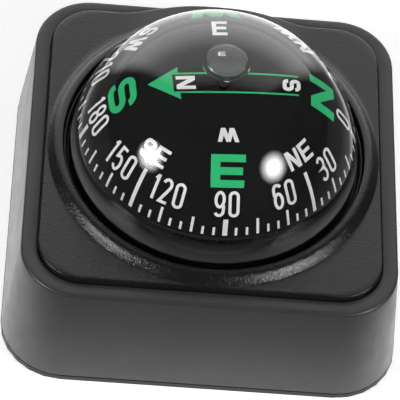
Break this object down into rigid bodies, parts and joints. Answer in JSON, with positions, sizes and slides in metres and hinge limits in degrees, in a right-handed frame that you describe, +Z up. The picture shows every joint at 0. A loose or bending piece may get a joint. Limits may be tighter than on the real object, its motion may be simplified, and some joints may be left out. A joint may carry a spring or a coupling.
{
  "type": "dashboard compass",
  "caption": "Ball compass for a car dashboard: a clear liquid-filled ball with a floating card on a pivot, in a square drafted housing with an adhesive pad underneath.",
  "frame": {"origin": "middle of the adhesive pad's underside, on the surface that the compass sticks to", "axes": "+Z up through the ball, -Y towards the reader, +X to the reader's right"},
  "size_m": [0.055, 0.055, 0.0376],
  "materials": {
    "housing_plastic": "dark grey moulded plastic, fine matte texture",
    "face_plastic": "dark grey moulded plastic, fine spark-eroded grain",
    "gloss_black": "polished black plastic",
    "clear_dome": "clear polished acrylic",
    "gasket_rubber": "black sealing rubber",
    "cup_plastic": "black moulded plastic",
    "pivot_brass": "turned brass",
    "holder_brass": "turned brass",
    "pin_steel": "hardened polished steel",
    "screw_steel": "zinc-plated steel",
    "foam": "black closed-cell foam",
    "base_plastic": "dark grey moulded plastic",
    "jewel": "polished jewel",
    "hub_plastic": "black moulded plastic",
    "float_foam": "closed-cell float foam",
    "card_plastic": "black card with printed white and green marks",
    "magnet": "plain sintered magnet"
  },
  "bodies": {
    "housing": {"housing_shell": "housing_plastic", "face_plate": "face_plastic", "bezel_ring": "gloss_black", "capsule_dome": "clear_dome", "capsule_gasket": "gasket_rubber", "capsule_cup": "cup_plastic", "filler_plug": "gasket_rubber", "pivot_post": "pivot_brass", "pivot_pin": "pin_steel", "cup_cushion": "foam", "base_plate": "base_plastic", "adhesive_pad": "foam", "base_screw_1": "screw_steel", "base_screw_2": "screw_steel", "base_screw_3": "screw_steel", "base_screw_4": "screw_steel"},
    "jewel": {"jewel_cup": "jewel"},
    "holder": {"jewel_holder": "holder_brass"},
    "card": {"card_hub": "hub_plastic", "card_float": "float_foam", "card_dome": "card_plastic", "magnet_left": "magnet", "magnet_right": "magnet"}
  },
  "joints": [
    {"name": "card_pitch", "type": "hinge", "parent": "housing", "child": "jewel", "pos_m": [0, 0, 0.0128], "axis": [1, 0, 0], "range_deg": [-5, 19]},
    {"name": "card_roll", "type": "hinge", "parent": "jewel", "child": "holder", "pos_m": [0, 0, 0.0128], "axis": [0, 0.9923, -0.1236], "range_deg": [-12, 11]},
    {"name": "card_spin", "type": "hinge", "parent": "holder", "child": "card", "pos_m": [0, 0, 0.0128], "axis": [0.0087, 0.1236, 0.9923], "continuous": true}
  ]
}
